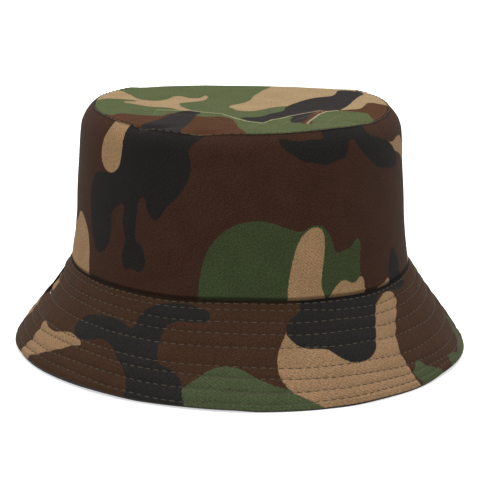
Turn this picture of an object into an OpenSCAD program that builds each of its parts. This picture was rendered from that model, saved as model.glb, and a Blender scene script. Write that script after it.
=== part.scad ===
// Bucket hat: a printed cloth shell, a plain lining and a quilted brim between them.
// +Z is up, the hat stands on the edge of its brim, and its front faces -Y.

/* [Head] */
// Girth of the head that the hat fits, taken on the lining at the head seam
head_girth = 583; // [540:1:640]
// Plan of the head seam: front to back divided by side to side
plan_ratio = 1.12; // [1.02:0.01:1.25]

/* [Crown] */
// Height of the crown, from the head seam up to the tip seam
crown_height = 83; // [70:1:110]
// How far each side of the tip seam stands inside the head seam
crown_taper = 12; // [8:0.5:20]
// Radius of the shoulder, where the side cloth turns down from the tip
shoulder_radius = 15.7; // [10:0.5:22]
// Slope of the side cloth at the tip seam, in degrees below level
shoulder_slope = 35; // [20:1:50]
// Slope of the side cloth below the shoulder, in degrees below level
wall_top_slope = 84; // [78:1:89]
// Slope of the side cloth at the head seam, in degrees below level
wall_foot_slope = 82; // [72:1:88]

/* [Brim] */
// Width of the brim, along its slope
brim_width = 56; // [40:1:80]
// Slope of the brim, in degrees below level
brim_slope = 55.6; // [20:0.2:70]

/* [Cloth] */
// Thickness of the printed twill
shell_cloth = 0.6; // [0.4:0.1:1]
// Thickness of the plain lining cloth
lining_cloth = 0.5; // [0.3:0.1:0.8]
// Width of cloth turned in along each seam
allowance = 7; // [5:0.5:9]
// Gap that keeps two layers of cloth apart
layer_gap = 0.1; // [0.06:0.02:0.2]
// Distance that turned edges stop short of a corner, where the real ones are clipped
corner_gap = 1; // [0.5:0.5:3]

/* [Stitching] */
// Thickness of the sewing thread
thread = 0.3; // [0.2:0.05:0.4]
// Distance of the first brim row from the head seam
first_row = 2.5; // [1.5:0.5:6]
// Distance of the last brim row from the edge of the brim
edge_row = 4; // [2:0.5:8]
// Distance of the row on the crown from the tip seam
tip_row = 1.8; // [1.4:0.2:5]

/* [Hidden] */
$fn = 96;
// Shares of the brim between its first and last rows, as the rows were sewn by eye
row_shares = [3.5, 5.5, 5.5, 7, 9, 5.5, 6.5, 6];
row_count = len(row_shares) + 1;

// The layers, as depths under the outer face: shell, its turned edge, the lining's turned edge, lining
shell_fold = shell_cloth + layer_gap / 2;
lining_fold = lining_cloth + layer_gap / 2;
stack = 2 * shell_fold + 2 * lining_fold + layer_gap;
thread_r = thread / 2;

// The plan is an oval of four quarter arcs. Its girth is PI times the sum of its two half lengths, and
// a line drawn inside or outside it at an even distance is the same oval with other radii.
// The radii are kept to a thousandth, so that the arcs meet exactly.
function thousandths(x) = round(1000 * x) / 1000;
head_half_width = (head_girth / PI + 2 * stack) / (1 + plan_ratio);
head_half_depth = head_half_width * plan_ratio;
arc_offset = (head_half_depth - head_half_width) / (2 - sqrt(2));
side_radius = thousandths(head_half_width + arc_offset);
end_radius = thousandths(head_half_depth - arc_offset);
centre_offset = (side_radius - end_radius) / sqrt(2);

// Heights
rim_height = lining_fold + (stack - lining_fold) * cos(brim_slope) - shell_fold * sin(brim_slope);
head_seam_height = rim_height + brim_width * sin(brim_slope);
tip_seam_height = head_seam_height + crown_height;

// The outline is walked outwards and down; each path gives [distance outside the head seam, height, slope]
// at a length along it. The tip path ends at the tip seam, where its length is 0; the others start at 0.
function turned(distance, radius) = distance / radius * 180 / PI;
tip_path = function(s) [s - crown_taper, tip_seam_height, 0];

shoulder_length = shoulder_radius * (wall_top_slope - shoulder_slope) * PI / 180;
tip_seam = [-crown_taper, tip_seam_height];
function shoulder_at(slope) = tip_seam
    + shoulder_radius * [sin(slope) - sin(shoulder_slope), cos(slope) - cos(shoulder_slope)];
wall_top = shoulder_at(wall_top_slope);
wall_foot = [0, head_seam_height];
wall_length = norm(wall_foot - wall_top);
side_length = shoulder_length + wall_length;
function downhill(slope) = [cos(slope), -sin(slope)];
function wall_point(t) = let (pull = wall_length / 3)
    (1 - t) ^ 3 * wall_top
    + 3 * t * (1 - t) ^ 2 * (wall_top + pull * downhill(wall_top_slope))
    + 3 * t ^ 2 * (1 - t) * (wall_foot - pull * downhill(wall_foot_slope))
    + t ^ 3 * wall_foot;
side_path = function(s) s < shoulder_length
    ? let (slope = shoulder_slope + turned(s, shoulder_radius), p = shoulder_at(slope)) [p.x, p.y, slope]
    : let (t = (s - shoulder_length) / wall_length, p = wall_point(t))
        [p.x, p.y, wall_top_slope + (wall_foot_slope - wall_top_slope) * t];
brim_path = function(s) let (p = wall_foot + s * downhill(brim_slope)) [p.x, p.y, brim_slope];

// Lengths at which the bent paths are drawn
function steps(from, to, count) = [for (i = [0 : count]) from + (to - from) * i / count];
side_steps = concat(steps(0, shoulder_length, 6), steps(shoulder_length, side_length, 9));

// A point [length, depth] of the layers, in the outline
function under(path, at) = let (p = path(at[0]))
    [thousandths(p[0] - at[1] * sin(p[2])), thousandths(p[1] - at[1] * cos(p[2]))];
function reversed(list) = [for (i = [len(list) - 1 : -1 : 0]) list[i]];
function between(marks, from, to) = concat([from], [for (s = marks) if (s > from && s < to) s], [to]);
function row(marks, from, to, depth) = [for (s = between(marks, from, to)) [s, depth]];

// Seams: half the bend at the seam, and how far each fold stays back so that two folds just clear
tip_bend = shoulder_slope / 2;
head_bend = (brim_slope - wall_foot_slope) / 2;
function fold_setback(radius, depth, bend) = radius / cos(bend) + depth * tan(bend) + layer_gap / 2;
function shell_setback(bend) = fold_setback(shell_fold, shell_fold, bend);
function lining_setback(bend) = fold_setback(lining_fold, stack - lining_fold, bend);

// The outline of one cloth whose edges are turned back along its hidden side, as [length, depth] from
// its visible face; the first edge stays raw where the panel starts in the middle of the tip
function fold(at, radius, way) =
    [for (a = [15 : 15 : 165]) [at + way * radius * sin(a), radius * (1 - cos(a))]];
function turned_cloth(marks, from, to, cloth, both) = let (inner = cloth + layer_gap, deep = cloth + inner)
    concat(
        row(marks, from, to, 0),
        fold(to, cloth + layer_gap / 2, 1),
        reversed(row(marks, to - allowance, to, deep)),
        row(marks, to - allowance, to, inner),
        reversed(row(marks, from, to, cloth)),
        both ? row(marks, from, from + allowance, inner) : [],
        both ? reversed(row(marks, from, from + allowance, deep)) : [],
        both ? reversed(fold(from, cloth + layer_gap / 2, -1)) : []);

// The shell is measured down from the outer face, and the lining up from the inner face
function shell_outline(path, marks, from, to, both = true) =
    [for (p = turned_cloth(marks, from, to, shell_cloth, both)) under(path, p)];
function lining_outline(path, marks, from, to, both = true) =
    [for (p = turned_cloth(marks, from, to, lining_cloth, both)) under(path, [p[0], stack - p[1]])];
function band_outline(path, marks, from, to, top, bottom) =
    [for (p = concat(row(marks, from, to, top), reversed(row(marks, from, to, bottom)))) under(path, p)];

// An arc of the oval; what is swept along it knows the radius of the head seam there
module arc(radius, sweep) {
    $seam_radius = radius;
    rotate_extrude(angle = sweep) children();
}
module outline(points) polygon([for (p = points) [max(0, p.x + $seam_radius), p.y]]);

// A move made in two parts, so that none of its digits are lost when the model is written out
module exactly(move) translate([for (m = move) thousandths(m)])
    translate([for (m = move) m - thousandths(m)]) children();
module quarter_oval() {
    exactly([-centre_offset, 0, 0]) arc(side_radius, 45) children();
    exactly([0, centre_offset, 0]) rotate([0, 0, 90]) mirror([0, 1, 0]) arc(end_radius, 45) children();
}
module half_oval() for (side = [0, 1]) mirror([side, 0, 0]) quarter_oval() children();
module oval() for (side = [0, 1]) mirror([0, side, 0]) half_oval() children();

// A panel reaches from one side seam to the other; at each end a strip of it is turned in
thread_room = thread_r + layer_gap;
function seam_degrees(distance) = turned(distance, side_radius);
module side_strip(path, marks, from, to, top, bottom, width) {
    clear = allowance + corner_gap;
    for (side = [0, 1]) mirror([side, 0, 0]) exactly([-centre_offset, 0, 0])
        rotate([0, 0, seam_degrees(thread_room)]) arc(side_radius, seam_degrees(width))
            outline(band_outline(path, marks, from + clear, to - clear, top, bottom));
}
module shell_half(path, marks, from, to) translate([0, layer_gap / 2, 0]) {
    bottom = 2 * shell_fold;
    half_oval() outline(shell_outline(path, marks, from, to));
    side_strip(path, marks, from, to, shell_cloth + layer_gap, bottom, allowance);
    side_strip(path, marks, from, to, shell_cloth / 2, bottom, shell_cloth);
}
module lining_half(path, marks, from, to) translate([0, layer_gap / 2, 0]) {
    top = stack - 2 * lining_fold;
    half_oval() outline(lining_outline(path, marks, from, to));
    side_strip(path, marks, from, to, top, stack - lining_cloth - layer_gap, allowance);
    side_strip(path, marks, from, to, top, stack - lining_cloth / 2, lining_cloth);
}
module front() rotate([0, 0, 180]) children();

// Printed shell
module crown_tip() color("darkolivegreen") oval()
    outline(shell_outline(tip_path, [], crown_taper - $seam_radius, -shell_setback(tip_bend), false));
module crown_side_back() color("#4a3226")
    shell_half(side_path, side_steps, shell_setback(tip_bend), side_length - shell_setback(head_bend));
module crown_side_front() front() crown_side_back();
module brim_top_back() color("#5c4030")
    shell_half(brim_path, [], shell_setback(head_bend), brim_width - shell_fold);
module brim_top_front() front() brim_top_back();

// Stiff interlining of the brim, between the turned edges
module brim_interlining_back() color("gainsboro") {
    inset = allowance + corner_gap + shell_setback(head_bend);
    reach = 2 * side_radius;
    difference() {
        half_oval() outline(band_outline(brim_path, [], inset, brim_width - inset,
            shell_cloth + layer_gap, stack - lining_cloth - layer_gap));
        for (side = [0, 1]) mirror([side, 0, 0]) exactly([-centre_offset, 0, 0])
            rotate([0, 0, seam_degrees(allowance + corner_gap)]) translate([0, -reach, 0]) cube(reach);
    }
}
module brim_interlining_front() front() brim_interlining_back();

// Plain lining
module lining_tip() color("#26262a") oval()
    outline(lining_outline(tip_path, [], crown_taper - $seam_radius, -lining_setback(tip_bend), false));
module lining_side_back() color("#26262a")
    lining_half(side_path, side_steps, lining_setback(tip_bend), side_length - lining_setback(head_bend));
module lining_side_front() front() lining_side_back();
module brim_under_back() color("#1f1f22")
    lining_half(brim_path, [], lining_setback(head_bend), brim_width - shell_fold);
module brim_under_front() front() brim_under_back();

// A ring of thread round the hat, its middle at a point of the outline
module thread_ring(at) oval() translate([$seam_radius, 0] + at) circle(thread_r, $fn = 8);

// Seam threads lie in the valley between two folds, on the side that nobody sees
function valley(radius) = sqrt((radius + thread_r + layer_gap / 2) ^ 2 - (radius + layer_gap / 2) ^ 2);
function seam_point(seam, slope, bend, depth, setback, way, radius) = let (p = seam
    + (depth * cos(bend) + setback * sin(bend) + way * valley(radius)) * [-sin(slope), -cos(slope)])
    [thousandths(p.x), thousandths(p.y)];
function shell_seam_point(seam, slope, bend) =
    seam_point(seam, slope, bend, shell_fold, shell_setback(bend), 1, shell_fold);
function lining_seam_point(seam, slope, bend) =
    seam_point(seam, slope, bend, stack - lining_fold, lining_setback(bend), -1, lining_fold);
tip_seam_slope = shoulder_slope / 2;
head_seam_slope = (wall_foot_slope + brim_slope) / 2;

module tip_seam_thread() color("#5f5541")
    thread_ring(shell_seam_point(tip_seam, tip_seam_slope, tip_bend));
module head_seam_thread() color("#5f5541")
    thread_ring(shell_seam_point(wall_foot, head_seam_slope, head_bend));
module lining_tip_seam_thread() color("#17171a")
    thread_ring(lining_seam_point(tip_seam, tip_seam_slope, tip_bend));
module lining_head_seam_thread() color("#17171a")
    thread_ring(lining_seam_point(wall_foot, head_seam_slope, head_bend));
module brim_edge_seam_thread() color("#5f5541")
    thread_ring(under(brim_path,
        [brim_width - shell_fold + valley(shell_fold), 2 * shell_fold + layer_gap / 2]));

// Side seam threads run down between the turned strips of the front and the back panel
module side_seam_line(path, marks, from, to, depth) {
    clear = allowance + corner_gap;
    for (side = [0, 1]) mirror([side, 0, 0]) translate([head_half_width, 0, 0]) rotate([90, 0, 0])
        linear_extrude(thread, center = true)
            polygon(band_outline(path, marks, from + clear, to - clear, depth - thread_r, depth + thread_r));
}
module side_seam_lines(depth) {
    side_seam_line(side_path, side_steps, corner_gap, side_length - corner_gap, depth);
    side_seam_line(brim_path, [], corner_gap, brim_width - corner_gap, depth);
}
module side_seam_thread() color("#5f5541") side_seam_lines(1.5 * shell_cloth + layer_gap);
module lining_side_seam_thread() color("#17171a") side_seam_lines(stack - 1.5 * lining_cloth - layer_gap);

// Rows sewn from the outside: the needle thread shows above, the bobbin thread under the brim
function sum_to(list, n) = n == 0 ? 0 : list[n - 1] + sum_to(list, n - 1);
function row_distance(i) = first_row + (brim_width - edge_row - first_row)
    * sum_to(row_shares, i - 1) / sum_to(row_shares, len(row_shares));
thread_seat = thread_r + layer_gap / 2;
module tip_topstitch() color("#8a7d5e")
    thread_ring(under(side_path, [tip_row, -thread_seat]));
module brim_stitch_row(i) color("#8a7d5e") {
    thread_ring(under(brim_path, [row_distance(i), -thread_seat]));
    thread_ring(under(brim_path, [row_distance(i), stack + thread_seat]));
}

crown_tip();
crown_side_front();
crown_side_back();
brim_top_front();
brim_top_back();
brim_interlining_front();
brim_interlining_back();
lining_tip();
lining_side_front();
lining_side_back();
brim_under_front();
brim_under_back();
tip_seam_thread();
head_seam_thread();
side_seam_thread();
lining_tip_seam_thread();
lining_head_seam_thread();
lining_side_seam_thread();
brim_edge_seam_thread();
tip_topstitch();
for (i = [1 : row_count])
    brim_stitch_row(i);
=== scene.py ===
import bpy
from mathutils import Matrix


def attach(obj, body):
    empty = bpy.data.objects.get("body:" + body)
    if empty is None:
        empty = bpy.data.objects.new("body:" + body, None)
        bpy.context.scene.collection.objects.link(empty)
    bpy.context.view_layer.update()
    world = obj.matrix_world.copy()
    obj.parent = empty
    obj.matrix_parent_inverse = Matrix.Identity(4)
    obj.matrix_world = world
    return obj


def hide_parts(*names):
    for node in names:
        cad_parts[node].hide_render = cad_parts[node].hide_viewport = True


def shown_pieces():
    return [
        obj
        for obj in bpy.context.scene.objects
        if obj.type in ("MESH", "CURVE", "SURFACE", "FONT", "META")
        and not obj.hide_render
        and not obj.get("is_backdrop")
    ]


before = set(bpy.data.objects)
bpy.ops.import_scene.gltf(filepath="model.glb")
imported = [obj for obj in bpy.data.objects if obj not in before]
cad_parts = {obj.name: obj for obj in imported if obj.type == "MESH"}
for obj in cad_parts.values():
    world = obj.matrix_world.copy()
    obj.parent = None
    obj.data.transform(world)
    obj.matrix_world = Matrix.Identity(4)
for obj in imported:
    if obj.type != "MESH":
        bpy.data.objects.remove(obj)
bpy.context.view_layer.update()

import math

import bpy
import bmesh
import numpy as np
from bpy.props import FloatProperty, FloatVectorProperty, PointerProperty
from mathutils import Matrix, Vector
from mathutils.bvhtree import BVHTree
from mathutils.geometry import tessellate_polygon

bl_info = {
    "name": "Bucket hat",
    "version": (1, 0, 0),
    "blender": (4, 5, 0),
    "location": "3D View > Sidebar > Hat",
    "description": "Dresses the packed bucket hat: printed twill, lining, quilting rows and stage",
    "category": "Object",
}

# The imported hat's own sizes, in millimetres and degrees, repeated here because the source can't be read.
HEAD_GIRTH, PLAN_RATIO = 583, 1.12
CROWN_HEIGHT, CROWN_TAPER = 83, 12
SHOULDER_RADIUS, SHOULDER_SLOPE = 15.7, 35
WALL_TOP_SLOPE, WALL_FOOT_SLOPE = 84, 82
BRIM_WIDTH, BRIM_SLOPE = 56, 55.6
SHELL_CLOTH, LINING_CLOTH, ALLOWANCE, LAYER_GAP, CORNER_GAP = 0.6, 0.5, 7, 0.1, 1
# How far down the crown's side the row of stitches at the tip seam lies, in mm
TIP_ROW = 0.5

SHELL_FOLD, LINING_FOLD = SHELL_CLOTH + LAYER_GAP / 2, LINING_CLOTH + LAYER_GAP / 2
STACK = 2 * SHELL_FOLD + 2 * LINING_FOLD + LAYER_GAP
HALF_WIDTH = (HEAD_GIRTH / math.pi + 2 * STACK) / (1 + PLAN_RATIO)
HALF_DEPTH = HALF_WIDTH * PLAN_RATIO
ARC_OFFSET = (HALF_DEPTH - HALF_WIDTH) / (2 - math.sqrt(2))
SIDE_ARC, END_ARC = HALF_WIDTH + ARC_OFFSET, HALF_DEPTH - ARC_OFFSET
ARC_CENTRE = (SIDE_ARC - END_ARC) / math.sqrt(2)
slope = math.radians(BRIM_SLOPE)
RIM_HEIGHT = LINING_FOLD + (STACK - LINING_FOLD) * math.cos(slope) - SHELL_FOLD * math.sin(slope)
HEAD_HEIGHT = RIM_HEIGHT + BRIM_WIDTH * math.sin(slope)
TIP_HEIGHT = HEAD_HEIGHT + CROWN_HEIGHT
END_LENGTH, SIDE_LENGTH = END_ARC * math.pi / 4, SIDE_ARC * math.pi / 4
QUARTER = END_LENGTH + SIDE_LENGTH
ROUND = 4 * QUARTER


def shoulder(angle):
    """Distance outside the head seam and height of the shoulder's arc where its slope is angle."""
    first = math.radians(SHOULDER_SLOPE)
    return np.stack([-CROWN_TAPER + SHOULDER_RADIUS * (np.sin(angle) - math.sin(first)),
                     TIP_HEIGHT + SHOULDER_RADIUS * (np.cos(angle) - math.cos(first))], -1)


WALL_TOP = shoulder(np.array(math.radians(WALL_TOP_SLOPE)))
WALL_FOOT = np.array([0, HEAD_HEIGHT])
SHOULDER_LENGTH = SHOULDER_RADIUS * math.radians(WALL_TOP_SLOPE - SHOULDER_SLOPE)
WALL_LENGTH = float(np.hypot(*(WALL_TOP - WALL_FOOT)))
CROWN_SIDE = SHOULDER_LENGTH + WALL_LENGTH
TIP_BEND = math.radians(SHOULDER_SLOPE / 2)
HEAD_BEND = math.radians((BRIM_SLOPE - WALL_FOOT_SLOPE) / 2)


def seam_setback(bend, fold_size, under):
    """How far a cloth stops short of a seam that turns by twice the bend, with under mm of cloth outside it."""
    return fold_size / math.cos(bend) + under * math.tan(bend) + LAYER_GAP / 2


def shell_setback(bend):
    return seam_setback(bend, SHELL_FOLD, SHELL_FOLD)


def lining_setback(bend):
    return seam_setback(bend, LINING_FOLD, STACK - LINING_FOLD)


# ---------------------------------------------------------------- outlines and plan
def crown_path(s):
    """Distance outside the head seam, height and slope, s down the crown's side from the tip seam."""
    s = np.asarray(s, float)
    angle = math.radians(SHOULDER_SLOPE) + np.minimum(s, SHOULDER_LENGTH) / SHOULDER_RADIUS
    down = lambda degrees: np.array([math.cos(math.radians(degrees)), -math.sin(math.radians(degrees))])
    pull = WALL_LENGTH / 3
    t = np.clip((s - SHOULDER_LENGTH) / WALL_LENGTH, 0, None)[..., None]
    wall = ((1 - t) ** 3 * WALL_TOP + 3 * t * (1 - t) ** 2 * (WALL_TOP + pull * down(WALL_TOP_SLOPE))
            + 3 * t * t * (1 - t) * (WALL_FOOT - pull * down(WALL_FOOT_SLOPE)) + t ** 3 * WALL_FOOT)
    point = np.where((s < SHOULDER_LENGTH)[..., None], shoulder(angle), wall)
    lean = np.radians(WALL_TOP_SLOPE + (WALL_FOOT_SLOPE - WALL_TOP_SLOPE) * t[..., 0])
    return point[..., 0], point[..., 1], np.where(s < SHOULDER_LENGTH, angle, lean)


def brim_path(s):
    """The same down the brim from the head seam."""
    s = np.asarray(s, float)
    return s * math.cos(slope), HEAD_HEIGHT - s * math.sin(slope), np.full(s.shape, slope)


def turn_of(u):
    """The turn in radians, 0 in front and growing to the hat's +X side, at u mm round the head seam."""
    u = np.asarray(u, float)
    quarter = np.round(u / (2 * QUARTER))
    near = u - quarter * 2 * QUARTER
    size = np.abs(near)
    turn = np.where(size < END_LENGTH, size / END_ARC, math.pi / 4 + (size - END_LENGTH) / SIDE_ARC)
    return np.sign(near) * turn + quarter * math.pi


def plan(turn, out):
    """x and y of the oval of four arcs, out mm outside the head seam."""
    part = np.mod(turn + math.pi / 4, 2 * math.pi) // (math.pi / 2)
    x = np.where(part == 1, -ARC_CENTRE, np.where(part == 3, ARC_CENTRE, 0.0))
    y = np.where(part == 0, -ARC_CENTRE, np.where(part == 2, ARC_CENTRE, 0.0))
    radius = np.where((part == 1) | (part == 3), SIDE_ARC, END_ARC) + out
    return x + radius * np.sin(turn), y - radius * np.cos(turn)


def turn_at(x, y):
    """The turn of a place on or near the oval."""
    front, back = np.arctan2(x, -(y + ARC_CENTRE)), np.arctan2(-x, y - ARC_CENTRE) + math.pi
    right, left = np.arctan2(y, x + ARC_CENTRE) + math.pi / 2, np.arctan2(-y, -(x - ARC_CENTRE)) - math.pi / 2
    eighth = math.pi / 4 + 1e-6
    return np.where((np.abs(front) <= eighth) & (y < 0), front, np.where(
        (np.abs(back - math.pi) <= eighth) & (y > 0), back, np.where(x > 0, right, left)))


def smooth(x):
    """A soft step from 0 to 1 while x goes from 0 to 1."""
    x = np.clip(x, 0, 1)
    return x * x * (3 - 2 * x)


def bell(x, at, spread):
    """1 at a place, fading softly on both sides of it."""
    return np.exp(-((x - at) / spread) ** 2)


def around(knots, place, full):
    """A value that runs smoothly round the hat through knots {place: value}."""
    at = sorted(knots)
    places = np.array([at[-1] - full] + at + [at[0] + full], float)
    values = np.array([knots[at[-1]]] + [knots[a] for a in at] + [knots[at[0]]], float)
    here = np.mod(place - places[1], full) + places[1]
    i = np.clip(np.searchsorted(places, here, side="right") - 1, 0, len(places) - 2)
    f = smooth((here - places[i]) / np.maximum(places[i + 1] - places[i], 1e-9))
    return values[i] * (1 - f) + values[i + 1] * f


# How this worn hat departs from its pattern, in mm at a turn in degrees: the edge of the brim and the
# tip seam rise and fall, the brim flares in front, and the back of the crown has sunk.
RIM_LIFT = {-135: 0.6, -90: 0.8, -64: 1.7, -45: 1.9, -25: 0.9, -2: 0.9, 6: 0.2, 16: 0.1, 24: 0.5, 37: 0.8, 55: 0.5,
            68: 0.9, 90: 0.5, 135: 0.6, 180: 0.2}
RIM_FLARE = {-135: 0, -90: 0.6, -52: -0.3, -26: 0.5, 4: 2.8, 28: 3.0, 45: 1.4, 65: -0.7, 90: -0.5, 135: 0, 180: 0.5}
HEAD_LIFT = {-120: 0, -90: 0, -54: 0, -27: 0, 0: 1.2, 27: 0, 55: -1.4, 80: 0, 120: 0, 180: 0}
TIP_LIFT = {-135: 0, -90: 0, -50: 0, -19: 0.3, 0: 1.2, 38: 1.6, 68: -0.2, 90: 0.3, 135: 0, 180: 0}
# The crown leans to the left by this share of its height, and sinks behind SAG_START at this slope, which
# begins softly over SAG_SOFT
LEAN, SAG_START, SAG_SLOPE, SAG_SOFT = -0.012, 50, 0.30, 8
# How far the two sides bow out, in mm: the crown's left side, both shoulders and the left foot of the crown, and
# how far the brim is pulled in on the left and on the right. Places and spreads are shares of the crown's
# height and of the brim's, and mm over the head seam for the foot.
LEFT_BOW = 0.8
SHOULDER_BOW, SHOULDER_AT, LEFT_SHOULDER_SPREAD, RIGHT_SHOULDER_SPREAD = 0.5, 0.85, 0.25, 0.16
FOOT_BOW, FOOT_AT, FOOT_SPREAD = 1.1, 4, 9
LEFT_PULL, RIGHT_PULL, PULL_AT, PULL_SPREAD = 1.7, 0.8, 0.35, 0.22
# The tip's own creases begin at this share of the crown's height
TIP_FROM = 0.93
# How the back edge of the tip is lifted from left to right, in mm at mm, from BACK_FROM on and in full
# BACK_FADE further
BACK_FROM, BACK_FADE = 10, 40
BACK_LIFT = {-66: -0.9, -56: -1.0, -42: 0, -20: 0.8, 30: 0.8, 50: 0, 60: -0.3, 75: 0}
# Creases that stand up across the tip: height, width and the line they follow in plan; they fade out over
# CREST_FADE and end at CREST_END beside it
CREST_END, CREST_FADE = 42, 30
CRESTS = [(0.6, 3.0, [(-44, -24), (-27, -25), (-21, -29.5), (-16, -30.5), (-10.5, -34), (-6, -41), (-2.5, -48),
                      (2.5, -55), (6, -57.5), (10, -60), (12, -58.5), (16, -49), (20.5, -45), (25, -38.5), (32, -29.5),
                      (38.5, -21.5), (41.5, -18)]),
          (0.5, 2.5, [(33.5, -61.5), (36.5, -47), (40.5, -29), (44.5, -20.5), (50.5, -16)])]
# Puckers beside the tip seam: x, y, half sizes and depth
PUCKERS = [(-45, -67, 8, 4.0, 2.6), (-19, -82, 8, 4.5, 2.0), (60, -46, 6, 4, 0.8), (-68, -22, 6, 5, 0.5)]
# Soft bulges of the crown's side: turn in degrees, height, half sizes and how far they stand out
BULGES = [(-33, 126, 6, 6, 0.9), (-12, 122, 9, 7, 0.9), (-21, 127, 3, 6, -0.8), (20, 105, 14, 18, 0.5),
          (-50, 100, 12, 20, -0.4), (48, 123, 7, 6, 0.7), (0, 70, 30, 12, -0.5), (150, 110, 20, 18, -1.0),
          (200, 95, 22, 20, 0.9)]


def crease(x, y):
    """Height of the creases across the tip, less the depth of its puckers."""
    total = 0 * x
    for height, width, line in CRESTS:
        gap = np.inf + 0 * x
        for (ax, ay), (bx, by) in zip(line, line[1:]):
            t = np.clip(((x - ax) * (bx - ax) + (y - ay) * (by - ay)) / ((bx - ax) ** 2 + (by - ay) ** 2), 0, 1)
            gap = np.minimum(gap, np.hypot(x - ax - t * (bx - ax), y - ay - t * (by - ay)))
        total = total + height / (1 + (gap / width) ** 2) * smooth((CREST_END - gap) / CREST_FADE)
    for px, py, half_x, half_y, depth in PUCKERS:
        total = total - depth * bell(x, px, half_x) * bell(y, py, half_y)
    return total


def beside_crest(x, y):
    """How far a place of the tip lies beside the nearest crease, in mm, with a sign for the side it is on."""
    best = 9 + 0 * x
    for _, _, line in CRESTS:
        for (ax, ay), (bx, by) in zip(line, line[1:]):
            way = math.hypot(bx - ax, by - ay)
            along = ((x - ax) * (bx - ax) + (y - ay) * (by - ay)) / way
            off = ((y - ay) * (bx - ax) - (x - ax) * (by - ay)) / way
            near = (along > -0.8) & (along < way + 0.8) & (np.abs(off) < np.abs(best))
            best = np.where(near, off, best)
    return best


def worn(turn, x, y, z, share=1.0):
    """Moves points of the pattern's hat to where they lie on the worn one. share fades what belongs to
    the tip seam towards the middle of the tip."""
    low = np.clip((HEAD_HEIGHT - z) / (HEAD_HEIGHT - RIM_HEIGHT), 0, 1)
    high = np.clip((z - HEAD_HEIGHT) / CROWN_HEIGHT, 0, 1)
    degrees = np.degrees(turn)
    lift = (around(HEAD_LIFT, degrees, 360) * (1 - low) * (1 - high) + around(RIM_LIFT, degrees, 360) * low
            + around(TIP_LIFT, degrees, 360) * high * share)
    left, right = smooth((-np.sin(turn) - 0.5) / 0.5), smooth((np.sin(turn) - 0.5) / 0.5)
    shoulders = (left * bell(high, SHOULDER_AT, LEFT_SHOULDER_SPREAD)
                 + right * bell(high, SHOULDER_AT, RIGHT_SHOULDER_SPREAD))
    out = (around(RIM_FLARE, degrees, 360) * low + LEFT_BOW * left * np.sin(math.pi * high)
           + SHOULDER_BOW * shoulders * share
           + FOOT_BOW * left * bell(z - HEAD_HEIGHT, FOOT_AT, FOOT_SPREAD)
           - (LEFT_PULL * left + RIGHT_PULL * right) * bell(low, PULL_AT, PULL_SPREAD))
    for at, height, half_turn, half_height, far in BULGES:
        beside = np.mod(degrees - at + 180, 360) - 180
        out = out + far * bell(beside, 0, half_turn) * bell(z, height, half_height)
    lift = lift + crease(x, y) * smooth((high - TIP_FROM) / (1 - TIP_FROM))
    lift = lift + (high * smooth((y - BACK_FROM) / BACK_FADE)
                   * np.interp(x, list(BACK_LIFT), list(BACK_LIFT.values())))
    back = np.maximum(0, y - SAG_START)
    sag = SAG_SLOPE * (np.sqrt(back ** 2 + SAG_SOFT ** 2) - SAG_SOFT)
    return np.stack([x + np.sin(turn) * out + LEAN * (z - RIM_HEIGHT), y - np.cos(turn) * out,
                     z + lift - sag * high], -1)


def ripple(a, b, seed, count=7, low=0.02, high=0.12):
    """A soft uneven wave between -1 and 1 over places a, b in mm, from seeded sines."""
    dice = np.random.default_rng(seed)
    total = 0
    for _ in range(count):
        rate, way, start = dice.uniform(low, high), dice.uniform(0, 2 * math.pi), dice.uniform(0, 2 * math.pi)
        total = total + np.sin(2 * math.pi * rate * (a * math.cos(way) + b * math.sin(way)) + start)
    return total / count ** 0.5 / 1.5


# ---------------------------------------------------------------- quilting rows
ROW_FRONT = [2.5, 5.7, 11.7, 17.4, 23.9, 33.2, 38.6, 45.6, 51.9]
ROW_WANDER = 0.22
# How far each row strays from its place in front, in mm down the brim at mm round the head seam
ROW_STRAY = [
    {-100: 0, 0: 0, 100: 0.2, 290: 0},
    {-160: 0.2, -98: -0.2, -33: -0.2, 0: 0, 30: 0.3, 47: 1.8, 84: 3.0, 116: 3.5, 200: 1.2, 290: 0.3},
    {-170: 0, -81: -0.3, 0: 0, 44: 0.4, 75: 1.8, 124: 2.2, 220: 0.4},
    {-170: -1.0, -89: -1.8, -40: -0.4, 0: 0, 47: 0.9, 86: 2.6, 106: 3.0, 200: 1.0, 290: 0},
    {-180: 0, -115: 0, 24: 0, 51: 1.5, 89: 2.9, 116: 3.8, 210: 1.2},
    {-180: 0, -115: -0.2, -81: -0.5, 0: 0, 51: 1.3, 92: 2.8, 121: 2.4, 220: 0.6},
    {-190: 0, -118: -0.6, -88: -1.8, -43: -0.8, 0: 0, 41: 1.6, 76: 3.4, 106: 5.1, 210: 2.4},
    {-190: 0, -103: -1.0, -72: -1.4, -16: -0.3, 0: 0, 41: 0.4, 76: 0.8, 126: 3.3, 220: 1.0},
    {-190: -0.6, -108: -1.9, -79: -2.1, -46: -0.2, -23: 1.2, 0: 0, 41: -0.4, 80: -1.3, 200: -0.4},
]


def row_places(u):
    """Where the nine rows cross each place u, one line of numbers for each row. Each row also wanders a
    little by itself, but not at its place in front."""
    u = np.asarray(u, float)
    radius = ROUND / (2 * math.pi)
    rows = []
    for i, (start, stray) in enumerate(zip(ROW_FRONT, ROW_STRAY)):
        wander = lambda turn: ripple(radius * np.sin(turn), radius * np.cos(turn), 90 + i, 6, 0.012, 0.04)
        rows.append(start + around(stray, u, ROUND) + ROW_WANDER * (wander(u / radius) - wander(0.0)))
    return np.stack(rows)


# Quilting in mm: rows this far apart let the cloth swell in full, how round it swells, the height of its
# drags, and how far it is tucked in at the head seam
FULL_GAP, SWELL_ROUND, DRAGS, SEAM_TUCK = 7, 2.2, 0.14, 0.3


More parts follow.
